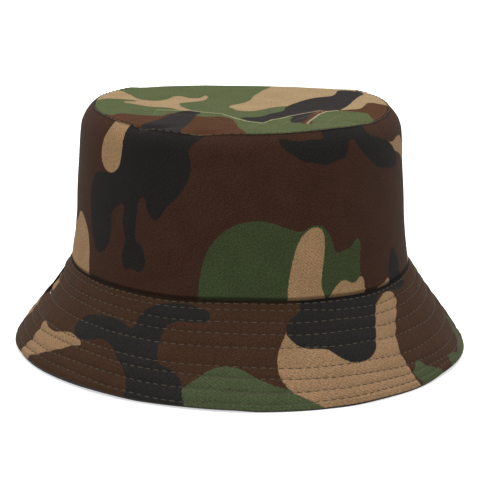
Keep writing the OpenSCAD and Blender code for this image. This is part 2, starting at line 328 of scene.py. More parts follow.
def brim_marks(per_gap):
    """Marks down the brim: 0 at the head seam, 1 to 9 on the rows and 10 at the edge."""
    near = lambda f: 0.5 - 0.5 * np.cos(math.pi * f)
    return np.unique(np.concatenate([gap + near(np.linspace(0, 1, per_gap + 1)) for gap in range(10)]).round(6))


def brim_lengths(u, marks, first, last):
    """mm down the brim for each mark at each u, as columns (u) by marks."""
    rows = row_places(u)
    ends = np.concatenate([np.full((1, len(u)), first), rows, np.full((1, len(u)), last)]).T
    base = np.clip(np.floor(marks).astype(int), 0, 9)
    return ends[:, base] + (ends[:, base + 1] - ends[:, base]) * (marks - base)


def quilting(u, s, puff):
    """How far the brim's cloth swells between its rows, in mm: in full where they are FULL_GAP apart, less
    where they are closer, and with fine drags that run across the swelling."""
    rows = row_places(u)
    ends = np.concatenate([np.zeros((1,) + u.shape) - 1, rows, np.zeros((1,) + u.shape) + BRIM_WIDTH + 1])
    swell = np.zeros(np.broadcast(u, s).shape)
    for near, far in zip(ends[:-1], ends[1:]):
        width = far - near
        f = np.clip((s - near) / width, 0, 1)
        swell = swell + np.where((s >= near) & (s < far),
                                 np.minimum(1, width / FULL_GAP) * (1 - np.abs(2 * f - 1) ** SWELL_ROUND), 0)
    drags = DRAGS * ripple(u * 1.6, s, 11, 9, 0.06, 0.2) * swell
    return puff * swell + drags - SEAM_TUCK * np.exp(-s / 1.3)


def crown_relief(u, s):
    """Soft unevenness of the crown's side, with small gathers along its seams, in mm outwards."""
    seam = np.exp(-s / 5.0) + 0.6 * np.exp(-(CROWN_SIDE - s) / 4.0)
    gathers = ripple(u, 0.2 * s, 5, 6, 0.07, 0.14)
    lip = 0.35 * np.exp(-((CROWN_SIDE - s - 1.2) / 1.5) ** 2)
    return 0.18 * ripple(u, s, 3, 8, 0.01, 0.035) + 0.16 * seam * gathers - 0.25 * np.exp(-s / 1.6) + lip


def tip_relief(x, y, edge):
    """Small gathers along the tip's seam and its soft unevenness, in mm upwards, edge mm from the seam."""
    pucker = 0.30 * np.exp(-edge / 6.0) * ripple(x * 1.3, y, 21, 7, 0.06, 0.13)
    return pucker + 0.25 * ripple(x, y, 23, 8, 0.01, 0.03) - 0.25 * np.exp(-edge / 1.5)


# ---------------------------------------------------------------- cloths
def fold(at, radius, way):
    """A half turn of cloth at a seam, as (length, depth)."""
    angle = np.radians(np.arange(15, 166, 15))
    return np.stack([at + way * radius * np.sin(angle), radius * (1 - np.cos(angle))], -1)


def turned_cloth(face, start, end, inner_marks, cloth):
    """The closed outline of one cloth with its edges turned back: (length, depth, 1 on the visible face)."""
    inner, deep, radius = cloth + LAYER_GAP, 2 * cloth + LAYER_GAP, cloth + LAYER_GAP / 2
    line = lambda marks, depth: np.stack([marks, np.full(len(marks), depth)], -1)
    flap = lambda first, last, depth: line(np.array([first, last]), depth)
    parts = [(line(face, 0), 1), (fold(end, radius, 1), 1),
             (flap(end, end - ALLOWANCE, deep), 0), (flap(end - ALLOWANCE, end, inner), 0),
             (line(inner_marks[::-1], cloth), 0),
             (flap(start, start + ALLOWANCE, inner), 0), (flap(start + ALLOWANCE, start, deep), 0),
             (fold(start, radius, -1)[::-1], 1)]
    return np.concatenate([np.column_stack([points, np.full(len(points), seen)]) for points, seen in parts])


def seam_dip(reach, radius):
    """How far the visible face rounds down beside a side seam, at reach mm from the panel's end."""
    near = np.clip(radius - reach, 0, radius)
    return radius - np.sqrt(np.maximum(radius ** 2 - near ** 2, 0))


def panel_columns(step):
    """Places across one panel, from side seam to side seam, closer together beside the seams."""
    middle = np.linspace(-QUARTER + 1.5, QUARTER - 1.5, int(2 * QUARTER / step))
    edge = np.array([0.06, 0.12, 0.2, 0.32, 0.5, 0.75, 1.1])
    return np.concatenate([-QUARTER + edge, middle, (QUARTER - edge)[::-1]])


def mesh_piece(name, points, faces, material, uv=None, values=None):
    """A piece in the scene from points in mm; uv is in mm of cloth and values are named numbers a point."""
    mesh = bpy.data.meshes.new(name)
    mesh.from_pydata((np.asarray(points) / 1000).tolist(), [], faces)
    for key, numbers in (values or {}).items():
        mesh.attributes.new(key, "FLOAT", "POINT").data.foreach_set("value", np.asarray(numbers, np.float32))
    if uv is not None:
        layer = mesh.uv_layers.new(name="cloth")
        corner = np.empty(len(mesh.loops), np.int32)
        mesh.loops.foreach_get("vertex_index", corner)
        layer.data.foreach_set("uv", np.asarray(uv, np.float32)[corner].ravel())
    work = bmesh.new()
    work.from_mesh(mesh)
    bmesh.ops.recalc_face_normals(work, faces=work.faces)
    work.to_mesh(mesh)
    work.free()
    mesh.validate()
    mesh.shade_smooth()
    mesh.set_sharp_from_angle(angle=math.radians(50))
    piece = bpy.data.objects.new(name, mesh)
    bpy.context.scene.collection.objects.link(piece)
    mesh.materials.append(material)
    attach(piece, "root")
    return piece


def swept_faces(columns, count, outline):
    """Quads of a closed outline carried along columns, with both ends closed."""
    i, j = np.meshgrid(np.arange(columns - 1), np.arange(count), indexing="ij")
    k = (j + 1) % count
    quads = np.stack([i * count + j, (i + 1) * count + j, (i + 1) * count + k, i * count + k], -1).reshape(-1, 4)
    ends = tessellate_polygon([[Vector((p[0], p[1], 0)) for p in outline]])
    last = (columns - 1) * count
    return quads.tolist() + [list(t) for t in ends] + [[last + n for n in t] for t in ends]


def layer_points(path, u, s, depth, swell):
    """World points in mm: u by s, depth under the outer face and swell out of it."""
    out, height, tilt = path(s)
    under = depth - swell
    out, height = out - under * np.sin(tilt), height - under * np.cos(tilt)
    turn = turn_of(u) + 0 * out
    x, y = plan(turn, out)
    return worn(turn, x, y, height)


# How far the under side's cloth shows past the printed one at the edge of the brim, in mm
EDGE_ROLL = {-290: 0.1, -135: 0.3, -100: 1.3, -70: 1.2, -45: 0.5, -15: 0.2, 10: 0.3, 45: 0.7, 80: 0.6,
             110: 0.1, 200: 0.2}


def half_centre(side):
    """0 for the front panel and half way round for the back one."""
    return 0 if side == "front" else 2 * QUARTER


def cloth_panel(name, side, path, kind, material, cloth, start, end, face_step, u_step, puff=0.0,
                lining=False, prints=None):
    """One sewn panel from side seam to side seam, as the closed cloth with its edges turned in."""
    u = panel_columns(u_step)
    whole = end - start
    face = np.linspace(start, end, max(3, int(round(whole / face_step)) + 1))
    quilted = kind == "brim" and not lining
    if quilted:
        marks = brim_marks(8)
        face = start + whole * marks / 10
    inner = np.linspace(start, end, 14 if kind == "crown" else 7)
    outline = turned_cloth(face, start, end, inner, cloth)
    centre = half_centre(side)
    turn_u = (u + centre)[:, None]
    s = np.repeat(outline[None, :, 0], len(u), 0)
    if quilted:
        s[:, :len(face)] = brim_lengths(u + centre, marks, start, end)
    elif kind == "brim":
        s = s + around(EDGE_ROLL, u + centre, ROUND)[:, None] * np.clip(s / BRIM_WIDTH, 0, 1) ** 12
    depth = np.repeat(outline[None, :, 1], len(u), 0)
    seen = outline[None, :, 2]
    reach = (QUARTER - np.abs(u))[:, None]
    depth = depth + seen * (depth < cloth * 0.9) * seam_dip(reach, cloth)
    grow = smooth((whole / 2 - np.abs(s - (start + end) / 2)) / 1.5) * smooth(reach / 2.5)
    all_u = turn_u + 0 * s
    relief = quilting(all_u, s, puff) if kind == "brim" else crown_relief(all_u, s)
    relief = relief * grow * seen * (depth < cloth * 0.5)
    if lining:
        depth, relief = STACK - depth, -0.5 * relief
    points = layer_points(path, all_u, s, depth, relief).reshape(-1, 3)
    length = s if kind == "brim" else CROWN_SIDE - s
    uv = np.stack([all_u, length], -1).reshape(-1, 2)
    values = prints(np.repeat(u[:, None], s.shape[1], 1).ravel(), length.ravel(), side) if prints else None
    piece = mesh_piece(name, points, swept_faces(len(u), len(outline), outline), material, uv, values)
    strip_in_panel(piece, path, centre, start, end, cloth, lining)
    return piece


def strip_in_panel(piece, path, centre, start, end, cloth, lining):
    """Adds the strip of cloth turned in along each side seam to the panel, and the web that joins them."""
    clear, rows, columns, gap = ALLOWANCE + CORNER_GAP, 8, 3, 0.3
    s = np.linspace(start + clear, end - clear, rows)
    points, faces, base = [], [], 0
    for way in (-1, 1):
        for width, top in ((ALLOWANCE, cloth + LAYER_GAP), (cloth, cloth / 2)):
            at = centre + way * (QUARTER - gap - np.linspace(0, width, columns))
            depths = np.array([top, 2 * cloth + LAYER_GAP])
            if lining:
                depths = STACK - depths
            loop = np.concatenate([np.stack([s, np.full(rows, depths[0])], -1),
                                   np.stack([s[::-1], np.full(rows, depths[1])], -1)])
            count = len(loop)
            grid = layer_points(path, np.repeat(at[:, None], count, 1), np.repeat(loop[None, :, 0], columns, 0),
                                loop[None, :, 1], 0)
            points.append(grid.reshape(-1, 3))
            faces += [[n + base for n in f] for f in swept_faces(columns, count, loop)]
            base += columns * count
    work = bmesh.new()
    work.from_mesh(piece.data)
    new = [work.verts.new(p / 1000) for p in np.concatenate(points)]
    made = [work.faces.new([new[n] for n in f]) for f in faces]
    bmesh.ops.recalc_face_normals(work, faces=made)
    work.to_mesh(piece.data)
    work.free()


def tip_points(turn, inward, depth, swell):
    """World points of the flat tip, inward mm from its seam along the line to its middle."""
    x, y = plan(turn, -CROWN_TAPER)
    size = np.hypot(x, y)
    share = 1 - inward / size
    x, y = x * share, y * share
    return worn(turn, x, y, TIP_HEIGHT - depth + swell, np.clip(share, 0, 1) ** 2)


# Rings of points beside the tip seam, in mm from it, closer together than in the middle of the tip
RIM_RINGS = np.array([0, 0.4, 1.0, 1.8, 2.8, 4.0, 5.5, 7.0, 8.5])
# The middle of the tip is closed by a small flat face, this far round it
TIP_MIDDLE = 1.5


def tip_disc(name, material, cloth, setback, lining, columns, rings, prints=None):
    """The tip as one closed cloth with its rim turned in underneath."""
    turn = turn_of(np.linspace(0, ROUND, columns, endpoint=False))
    x, y = plan(turn, -CROWN_TAPER)
    size = np.hypot(x, y)
    near = RIM_RINGS + setback
    # Each step of the profile: mm inward at each column, depth, and 1 on the visible face
    profile = [(near[-1] + (size - TIP_MIDDLE - near[-1]) * f, 0.0, 1) for f in np.linspace(0, 1, rings)[:0:-1]]
    profile += [(np.full(columns, n), 0.0, 1) for n in near[::-1]]
    radius, inner, deep = cloth + LAYER_GAP / 2, cloth + LAYER_GAP, 2 * cloth + LAYER_GAP
    for length, depth in fold(-setback, radius, 1):
        profile.append((np.full(columns, -length), depth, 1 if depth < radius else 0))
    for n, depth in ((0, deep), (ALLOWANCE, deep), (ALLOWANCE, inner), (0, inner), (0, cloth), (4, cloth), (12, cloth)):
        profile.append((np.full(columns, setback + n), depth, 0))
    under = near[-1] + 10
    profile += [(under + (size - TIP_MIDDLE - under) * f, cloth, 0) for f in np.linspace(0, 1, 12)[1:]]
    inward = np.stack([p[0] for p in profile], 1)
    depth = np.array([p[1] for p in profile])[None, :]
    seen = np.array([p[2] for p in profile])[None, :]
    share = 1 - inward / size[:, None]
    flat_x, flat_y = x[:, None] * share, y[:, None] * share
    edge = np.maximum(inward - setback, 0)
    relief = tip_relief(flat_x, flat_y, edge) * smooth(edge / 3) * seen * (depth < 0.01)
    depth = depth + 0 * inward
    if lining:
        depth, relief = STACK - depth, 0.0
    points = tip_points(turn[:, None] + 0 * inward, inward, depth, relief).reshape(-1, 3)
    count = inward.shape[1]
    i, j = np.meshgrid(np.arange(columns), np.arange(count - 1), indexing="ij")
    n = (i + 1) % columns
    quads = np.stack([i * count + j, n * count + j, n * count + j + 1, i * count + j + 1], -1).reshape(-1, 4).tolist()
    quads.append([c * count for c in range(columns)])
    quads.append([c * count + count - 1 for c in range(columns)][::-1])
    flat_x, flat_y = flat_x.ravel(), flat_y.ravel()
    values = {**prints(flat_x, flat_y), "crease": beside_crest(flat_x, flat_y)} if prints else None
    return mesh_piece(name, points, quads, material, np.stack([flat_x, flat_y], -1), values)


# ---------------------------------------------------------------- woodland print
# Outlines of the printed patches in mm of cloth, as the front panels and the tip are cut. On the crown
# the second number runs up from the head seam, on the brim down from it; on the tip both are plan.
CROWN_TAN = [
    [(-89, 88), (-90, 80), (-93, 70), (-93, 65), (-91, 61), (-88, 58.5), (-80, 58), (-76, 61), (-73, 68), (-73, 88)],
    [(-97, -9), (-98, -2), (-100, 5), (-103, 14), (-107, 23), (-113, 28), (-120, 30), (-128, 25), (-143, 16),
     (-146, 8), (-134, -3), (-130, -9)],
    [(24, -9), (24, 0), (24.5, 6), (26, 14), (28, 21), (30, 27), (33, 32), (36, 34.5), (41, 36), (44.5, 34.5),
     (46, 30), (45.5, 20), (44, 12), (43.5, 6), (45, 1), (46, -3), (47, -9)],
    [(46, -9), (46.5, -1), (50, 3), (54, 6.5), (58, 8), (64, 6), (68, 7), (70, 8.5), (72, 8), (73, 1), (73.5, -9)],
    [(103, 71), (112, 71.5), (119, 72.5), (128, 71.5), (136, 57), (128, 61), (121, 64), (112, 67)],
    [(84, 0.5), (88, 1.5), (92, 2), (96, 3), (96.5, -2), (95, -9), (84, -9)],
    [(134, -3), (135, 2), (142, 5), (154, 4), (154, -3)],
]
CROWN_GREEN = [
    [(-21.5, -9), (-21.5, 0), (-21, 12), (-16, 27), (-5, 37), (6, 40), (13, 40), (24, 36.5), (33, 34.5), (38, 36.5),
     (44, 36.5), (49, 32), (52, 25), (53, 22.5), (59, 23), (64, 24), (70, 28), (71.5, 26), (71, 18), (70.5, 12),
     (70, -9)],
]
CROWN_BLACK = [
    [(-19, 92), (-19.5, 86.5), (-23, 82), (-27, 78), (-28.5, 75), (-27, 69), (-28, 61), (-33, 53), (-41, 45),
     (-48, 38), (-53, 43), (-56, 49), (-59, 46), (-60, 40), (-61, 31), (-60, 26), (-56, 24), (-54, 20), (-53, 14),
     (-58, 10), (-61, 11), (-67, 10), (-70, 15), (-68, 25), (-71, 34), (-71, 43), (-76, 41), (-80, 38), (-80, 28),
     (-84, 18), (-92, 14), (-99, 20), (-103, 33), (-104, 45), (-99, 54), (-88, 57), (-80, 58), (-76, 61), (-74, 68),
     (-74, 88)],
    [(103, 17), (100, 13), (98, 8), (97, -1), (97, -9), (114, -9), (113, -1), (112, 8), (110, 13)],
    [(21, 80), (24, 75.5), (28, 73), (34, 69.5), (41, 68), (49, 66.5), (56, 68), (61, 69), (64, 74), (68, 78),
     (72, 74), (75, 71), (82, 66), (89, 62), (98, 60), (106, 58.5), (117, 60), (112, 68), (108, 71), (100, 74.5),
     (92, 77), (85, 79), (83, 88), (49, 88), (48.5, 80.5), (40, 80), (32, 79.5)],
    [(-134, -3), (-140, 4), (-154, 8), (-154, -3)],
]
BRIM_TAN = [
    [(-116, 34.5), (-115, 38.5), (-115, 46), (-117, 49.5), (-119, 54.5), (-120, 62), (-107, 62), (-108, 55),
     (-101, 50.5), (-93.5, 45.5), (-84.5, 41), (-82.5, 39), (-76, 35.5), (-80, 34), (-86, 32.5), (-93, 33.5),
     (-98, 35.5), (-104, 36), (-111, 35)],
    [(22, 14), (20, 18), (17, 24), (15.5, 28), (15, 33), (15.5, 39.5), (18.5, 46), (25.5, 52), (29, 55), (34, 62),
     (84, 64), (77, 54), (75.5, 45), (75, 36), (78, 27.5), (84, 20), (91.5, 12.5), (94.5, 9), (94.5, 6), (90, 3.5),
     (80, 6), (70, 12), (62, 22), (55, 30), (45, 28), (35, 22), (26, 16)],
    [(-144, 13.5), (-139, 16.5), (-135.5, 19.5), (-136.5, 21.5), (-140, 22), (-146, 21.5), (-154, 19), (-154, 14)],
]
BRIM_GREEN = [
    [(-22, 64), (-21.5, 56), (-21.5, 47.5), (-17, 42.5), (-12, 37), (-5.5, 34.5), (-2, 35), (6, 39.5), (14, 44.5),
     (18.5, 46), (25.5, 52), (30, 56), (34, 64)],
    [(83.5, 43), (79.5, 46), (77, 49.5), (79, 53), (82, 62), (96, 62), (98.5, 55), (94.5, 51.5), (88, 47.5)],
    [(111, 50), (109, 53), (111, 62), (124, 62), (122, 53), (115, 50)],
    [(145.5, 36.5), (137.5, 45), (134, 48.5), (128, 51), (123, 53), (124, 62), (154, 62), (154, 36)],
]
BRIM_BLACK = [
    [(-86, 29.5), (-87, 26.5), (-84, 22), (-76, 18.5), (-68.5, 17.5), (-60.5, 17.5), (-55, 19), (-51.5, 20),
     (-50, 18.5), (-50, 14), (-48.5, 10.5), (-42.5, 5), (-36, 3), (-29, 2.5), (-20, 4.5), (-16, 6), (-14, 9),
     (-15, 11.5), (-20, 12.5), (-30, 13), (-34, 15.5), (-35, 20), (-35, 31), (-33.5, 35.5), (-26.5, 39), (-23, 43),
     (-21.5, 49), (-21, 62), (-44, 62), (-44, 51.5), (-45.5, 46.5), (-48.5, 41.5), (-52, 38), (-58.5, 31.5),
     (-63.5, 30), (-72.5, 32.5), (-79, 33.5), (-84, 32)],
    [(30.5, -9), (30.5, -1), (29, 5), (22.5, 11), (20.5, 16), (23.5, 22.5), (29, 25.5), (37.5, 27), (42, 32),
     (49.5, 36), (55, 35.5), (61, 31.5), (65, 24.5), (69.5, 17), (75.5, 8.5), (78, 6), (82, 3.5), (92, 3.5),
     (102, 5.5), (110, 4.5), (115, 1.5), (117, -9)],
]
TIP_TAN = [
    [(-84, 44), (-67.5, 40.5), (-61, 27), (-51, 7.5), (-45.5, 6.5), (-41, 10), (-34, 21), (-27, 15.5), (-23, 16.5),
     (-20, 23.5), (-21, 9), (-27, 4), (-32, 1), (-32, -10), (-28, -24), (-40, -13.5), (-45.5, -13.5), (-57, -5.5),
     (-62.5, 1), (-56, 3.5), (-63, 9.5), (-73.5, 10), (-78, 4), (-86, 3)],
    [(15, 95), (16, 60), (16, 49.5), (11.5, 38), (9, 30.5), (6.5, 24), (5, 14.5), (1.5, 5.5), (-2, 0), (-4.5, -3),
     (-6.5, -9), (-4.5, -15), (-2, -20), (1.5, -21.5), (6, -20.5), (11.5, -15), (16.5, -8.5), (22, -4.5), (24, -4),
     (40, 12), (60, 40), (60, 95)],
    [(60, 40), (58, 10), (54, -6), (52.5, -13), (57.5, -11), (60.5, -10.5), (62.5, -8.5), (65, -1), (67, 6.5),
     (68.5, 9), (71, 8), (74, 4.5), (77, 1.5), (84, 0), (86, 36)],
]
TIP_GREEN = [
    [(-95, -46), (-80, -42), (-70.5, -35.5), (-67.5, -37), (-63, -32), (-55, -35), (-49, -36.5), (-42, -37.5),
     (-38, -32), (-34, -29.5), (-30, -26), (-23.5, -38), (-20.5, -39), (-15.5, -40.5), (-11, -40.5), (-8.5, -43),
     (-6, -46.5), (-3.5, -51), (4, -50), (12, -48), (24, -34), (30, -4), (30, 56), (18, 95), (-95, 95)],
    [(-3.5, -50), (-2.5, -59.5), (-1, -72.5), (1.5, -80.5), (4, -96), (40, -96), (78, -60), (68, -37), (67.5, -31.5),
     (66.5, -25), (65.5, -20.5), (62.5, -18.5), (59, -16.5), (55, -15.5), (51, -15.5), (47.5, -17), (44.5, -21),
     (40.5, -29.5), (36.5, -48), (33.5, -62.5), (32, -62), (30.5, -58), (31, -50), (30, -34), (20, -34), (8, -46)],
]
TIP_BLACK = [
    [(-51, -64), (-49, -58), (-46.5, -54.5), (-43, -48.5), (-39.5, -39.5), (-34, -29.5), (-30, -26), (-24.5, -26.5),
     (-22, -27.5), (-23.5, -37.5), (-24.5, -46), (-25.5, -54.5), (-28, -65), (-30, -74.5), (-34, -96), (-60, -96)],
    [(66.5, 36.5), (64.5, 31), (62, 22.5), (59.5, 12.5), (57, 1.5), (55, -5), (53, -10), (51, -14.5), (45.5, -16),
     (41.5, -18), (39, -21.5), (36.5, -30), (34.5, -40.5), (31.5, -54), (30.5, -57), (29.5, -56.5), (27, -57),
     (25.5, -54), (25, -48.5), (25.5, -39.5), (20.5, -44), (16, -48.5), (12, -58.5), (8, -54), (4, -53.5), (0, -46),
     (-1, -43.5), (1.5, -41), (6, -39), (10.5, -36), (14.5, -29), (19, -23), (21.5, -19), (23.5, -6.5), (26.5, 1.5),
     (30.5, 9), (35, 16.5), (40, 22.5), (43.5, 25), (49, 29.5), (50, 32), (51.5, 39.5), (53.5, 48)],
]


def rounded(outline, steps=5):
    """The patch's outline with its corners rounded, as a printing screen leaves them."""
    p = np.array(outline, float)
    back, ahead = p - np.roll(p, 1, 0), np.roll(p, -1, 0) - p
    way = back / (back ** 2).sum(1, keepdims=True) + ahead / (ahead ** 2).sum(1, keepdims=True)
    way = way / np.maximum(np.hypot(*way.T), 1e-9)[:, None]
    reach = np.hypot(*ahead.T)[:, None]
    after, way_after = np.roll(p, -1, 0), np.roll(way, -1, 0)
    made = [p * (2 * t ** 3 - 3 * t * t + 1) + way * reach * (t ** 3 - 2 * t * t + t)
            + after * (3 * t * t - 2 * t ** 3) + way_after * reach * (t ** 3 - t * t)
            for t in np.arange(steps) / steps]
    return np.stack(made, 1).reshape(-1, 2)


# How far beside a patch's outline the print is still told apart, in mm
PRINT_REACH = 6.0


def inside_by(outlines, a, b):
    """How far each place (a, b) lies inside the nearest of the patches, in mm, negative outside."""
    best = np.full(len(a), -PRINT_REACH)
    for outline in outlines:
        p = rounded(outline)
        low, high = p.min(0) - PRINT_REACH, p.max(0) + PRINT_REACH
        near = np.flatnonzero((a > low[0]) & (a < high[0]) & (b > low[1]) & (b < high[1]))
        if not len(near):
            continue
        q = np.stack([a[near], b[near]], -1)
        gap, odd = np.full(len(near), 1e9), np.zeros(len(near), bool)
        for start, end in zip(p, np.roll(p, -1, 0)):
            along = end - start
            t = np.clip(((q - start) @ along) / max(along @ along, 1e-9), 0, 1)
            gap = np.minimum(gap, np.hypot(*(q - start - t[:, None] * along).T))
            crosses = (start[1] > q[:, 1]) != (end[1] > q[:, 1])
            rise = end[1] - start[1] if abs(end[1] - start[1]) > 1e-9 else 1e-9
            odd ^= crosses & (q[:, 0] < start[0] + (q[:, 1] - start[1]) * along[0] / rise)
        best[near] = np.maximum(best[near], np.where(odd, gap, -gap))
    return np.clip(best, -PRINT_REACH, PRINT_REACH)


def print_on(tan, green, black, length):
    """The print as numbers a point; the back panel is another cut of the same cloth, turned round."""
    def values(a, b, side="front"):
        if side == "back":
            a, b = -a, length - b
        return {"tan": inside_by(tan, a, b), "green": inside_by(green, a, b), "black": inside_by(black, a, b)}
    return values


# ---------------------------------------------------------------- materials
def linear(colour):
    """sRGB hex, such as "#8a6f50", to the linear colour that the shader takes."""
    parts = [int(colour[i:i + 2], 16) / 255 for i in (1, 3, 5)]
    return tuple(c / 12.92 if c <= 0.04045 else ((c + 0.055) / 1.055) ** 2.4 for c in parts)


def add_node(tree, kind, settings=None, inputs=None):
    """A node with its settings, and its sockets set to numbers or linked to other nodes' outputs."""
    node = tree.nodes.new(kind)
    for key, value in (settings or {}).items():
        setattr(node, key, value)
    for key, value in (inputs or {}).items():
        if isinstance(value, bpy.types.NodeSocket):
            tree.links.new(value, node.inputs[key])
        else:
            node.inputs[key].default_value = value
    return node


def new_material(name):
    material = bpy.data.materials.new(name)
    material.use_nodes = True
    material.node_tree.nodes.clear()
    return material, material.node_tree


def finish_material(tree, surface):
    add_node(tree, "ShaderNodeOutputMaterial", inputs={"Surface": surface.outputs[0]})


def opaque(colour):
    return (*colour, 1.0)


# Noise keeps mostly within this span of its 0 to 1
NOISE_SPAN = (0.3, 0.7)


def woven_surface(tree, pitch, diagonal, strength, fleck=(0.9, 0.9)):
    """The relief of the weave in the cloth's own millimetres: its lines and the unevenness of its yarns."""
    cloth = add_node(tree, "ShaderNodeUVMap", {"uv_map": "cloth"})
    turned = add_node(tree, "ShaderNodeMapping", inputs={
        "Vector": cloth.outputs["UV"], "Rotation": (0, 0, math.radians(diagonal))})
    # A wave of scale 0.314 is 1 mm long.
    lines = add_node(tree, "ShaderNodeTexWave", {"wave_type": "BANDS", "bands_direction": "X"}, {
        "Vector": turned.outputs[0], "Scale": 0.314 / pitch, "Distortion": 1.2, "Detail": 1.0, "Detail Scale": 1.5})
    drawn = add_node(tree, "ShaderNodeVectorMath", {"operation": "MULTIPLY"}, {
        0: turned.outputs[0], 1: (*fleck, 1)})
    yarns = add_node(tree, "ShaderNodeTexNoise", inputs={
        "Vector": drawn.outputs[0], "Scale": 1.0, "Detail": 2.0, "Roughness": 0.65})
    both = add_node(tree, "ShaderNodeMath", {"operation": "MULTIPLY_ADD"}, {
        0: yarns.outputs["Fac"], 1: 0.7, 2: lines.outputs["Fac"]})
    bump = add_node(tree, "ShaderNodeBump", inputs={
        "Strength": strength, "Distance": 0.0002, "Height": both.outputs[0]})
    return cloth, lines, yarns, bump


def washed_twill(name, brown, green, tan, black, diagonal=125, crease_wear_and_highlight=False, painted_seam_shade=()):
    """Cotton twill, printed and washed: matt, with a faint bloom of loose fibres where it is seen edge on,
    diagonal lines of the weave, and ink that is a little uneven inside and soft at its edges."""
    material, tree = new_material(name)
    # Twill lines are about 0.8 mm apart on the real cloth; they are drawn at 1.3 mm so that they show.
    cloth, lines, yarns, bump = woven_surface(tree, 1.3, diagonal, 0.4, (1.5, 1.0))
    fray = add_node(tree, "ShaderNodeTexNoise", inputs={
        "Vector": cloth.outputs["UV"], "Scale": 0.75, "Detail": 1.0, "Roughness": 0.5})
    colour = None
    for key, shade in (("green", green), ("tan", tan), ("black", black)):
        patch = add_node(tree, "ShaderNodeAttribute", {"attribute_name": key})
        frayed = add_node(tree, "ShaderNodeMath", {"operation": "MULTIPLY_ADD"}, {
            0: fray.outputs["Fac"], 1: 0.9, 2: patch.outputs["Fac"]})
        cover = add_node(tree, "ShaderNodeMapRange", {"interpolation_type": "SMOOTHSTEP"}, {
            "Value": frayed.outputs[0], "From Min": 0.2, "From Max": 0.7})
        mixed = add_node(tree, "ShaderNodeMix", {"data_type": "RGBA"}, {"Factor": cover.outputs[0]})
        mixed.inputs[7].default_value = opaque(shade)
        if colour is None:
            mixed.inputs[6].default_value = opaque(brown)
        else:
            tree.links.new(colour, mixed.inputs[6])
        colour = mixed.outputs[2]
    # Uneven washing in patches some 15 mm wide
    wash = add_node(tree, "ShaderNodeTexNoise", inputs={
        "Vector": cloth.outputs["UV"], "Scale": 0.06, "Detail": 3.0, "Roughness": 0.6})
    level = None
    for source, (first, last), low, high in ((wash, NOISE_SPAN, 0.91, 1.09), (yarns, NOISE_SPAN, 0.6, 1.4),
                                             (lines, (0.0, 1.0), 0.92, 1.08)):
        share = add_node(tree, "ShaderNodeMapRange", inputs={
            "Value": source.outputs["Fac"], "From Min": first, "From Max": last, "To Min": low, "To Max": high})
        level = share if level is None else add_node(tree, "ShaderNodeMath", {"operation": "MULTIPLY"}, {
            0: level.outputs[0], 1: share.outputs[0]})
    # Painted shade beside a seam, where hardly any light gets down: mm of the cloth, from dark to clear.
    split = add_node(tree, "ShaderNodeSeparateXYZ", inputs={"Vector": cloth.outputs["UV"]})
    for dark, clear, least in painted_seam_shade:
        seam = add_node(tree, "ShaderNodeMapRange", {"interpolation_type": "SMOOTHSTEP"}, {
            "Value": split.outputs["Y"], "From Min": dark, "From Max": clear, "To Min": least, "To Max": 1.0})
        level = add_node(tree, "ShaderNodeMath", {"operation": "MULTIPLY"}, {0: level.outputs[0], 1: seam.outputs[0]})
    if crease_wear_and_highlight:
        # Painted highlight along the top of a crease, where the fold catches the light, and ink rubbed off there so
        # that the pale yarn shows.
        beside = add_node(tree, "ShaderNodeAttribute", {"attribute_name": "crease"})
        gap = add_node(tree, "ShaderNodeMath", {"operation": "ABSOLUTE"}, {0: beside.outputs["Fac"]})
        rubbed_and_lit = add_node(tree, "ShaderNodeMapRange", {"interpolation_type": "SMOOTHSTEP"}, {
            "Value": gap.outputs[0], "From Min": 0.2, "From Max": 1.0, "To Min": 0.45, "To Max": 0.0})
        mixed = add_node(tree, "ShaderNodeMix", {"data_type": "RGBA"}, {"Factor": rubbed_and_lit.outputs[0], "A": colour})
        mixed.inputs[7].default_value = opaque(linear("#b3a888"))
        colour = mixed.outputs[2]
    shaded = add_node(tree, "ShaderNodeVectorMath", {"operation": "SCALE"}, {
        "Vector": colour, "Scale": level.outputs[0]})
    # Cotton: IOR 1.53, rough all over.
    surface = add_node(tree, "ShaderNodeBsdfPrincipled", inputs={
        "Base Color": shaded.outputs[0], "Roughness": 0.92, "IOR": 1.53, "Specular IOR Level": 0.05,
        "Sheen Weight": 0.02, "Sheen Roughness": 0.5, "Sheen Tint": (0.9, 0.8, 0.7, 1.0),
        "Normal": bump.outputs[0]})
    finish_material(tree, surface)
    return material


def plain_dyed(material, tree, colour, noise, low, high, **finish):
    """Ends a material of one colour, which a noise darkens to low and lightens to high, with its finish."""
    level = add_node(tree, "ShaderNodeMapRange", inputs={
        "Value": noise.outputs["Fac"], "From Min": NOISE_SPAN[0], "From Max": NOISE_SPAN[1],
        "To Min": low, "To Max": high})
    shaded = add_node(tree, "ShaderNodeVectorMath", {"operation": "SCALE"}, {"Scale": level.outputs[0]})
    shaded.inputs[0].default_value = colour
    surface = add_node(tree, "ShaderNodeBsdfPrincipled", inputs={
        "Base Color": shaded.outputs[0], **{key.replace("_", " "): value for key, value in finish.items()}})
    finish_material(tree, surface)
    return material


def object_noise(tree, scale, detail):
    """Noise in the piece's own metres."""
    place = add_node(tree, "ShaderNodeTexCoord")
    return add_node(tree, "ShaderNodeTexNoise", inputs={
        "Vector": place.outputs["Object"], "Scale": scale, "Detail": detail})


def plain_poplin(name, colour):
    """Poplin of cotton and polyester, plain woven and dyed dark: flat and even, a little smoother than twill."""
    material, tree = new_material(name)
    # Its yarns are about 0.3 mm apart; they are drawn at 1.2 mm.
    _, _, yarns, bump = woven_surface(tree, 1.2, 0, 0.25)
    return plain_dyed(material, tree, colour, yarns, 0.85, 1.15, Roughness=0.8, IOR=1.55,
                      Specular_IOR_Level=0.3, Sheen_Weight=0.12, Normal=bump.outputs[0])


